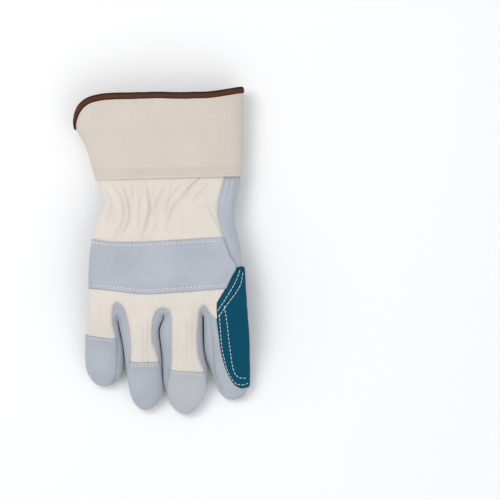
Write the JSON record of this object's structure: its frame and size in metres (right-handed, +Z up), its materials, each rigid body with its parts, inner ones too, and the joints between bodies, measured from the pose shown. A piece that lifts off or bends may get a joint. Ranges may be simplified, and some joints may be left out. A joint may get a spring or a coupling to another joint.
{
  "type": "rigger glove",
  "caption": "Right-hand rigger glove of split leather and cotton canvas with a taped safety cuff, a knuckle strap, leather fingertips and a double palm, lying palm down",
  "frame": {"origin": "The point of the floor under the middle of the bounding box, the glove lying palm down", "axes": "+Y from the fingertips to the cuff's mouth, +X to the thumb's side, +Z up out of the back of the hand"},
  "size_m": [0.1432, 0.266, 0.0418],
  "materials": {
    "cuff_canvas": "stiff rubberised cotton canvas, matt",
    "canvas": "soft cotton canvas, matt",
    "grey_leather": "split cowhide, suede",
    "teal_leather": "split cowhide, suede",
    "tape": "woven cotton tape, matt"
  },
  "bodies": {
    "root": {"cuff": "cuff_canvas", "cuff_binding": "tape", "vein_patch": "grey_leather", "hand_back": "canvas", "knuckle_strap": "grey_leather", "fingertip_little": "grey_leather", "fingertip_ring": "grey_leather", "fingertip_middle": "grey_leather", "palm_leather": "grey_leather", "middle_fingers_leather": "grey_leather", "thumb_back": "grey_leather", "thumb_front": "grey_leather", "double_palm": "teal_leather", "thumb_patch": "teal_leather"}
  },
  "joints": []
}
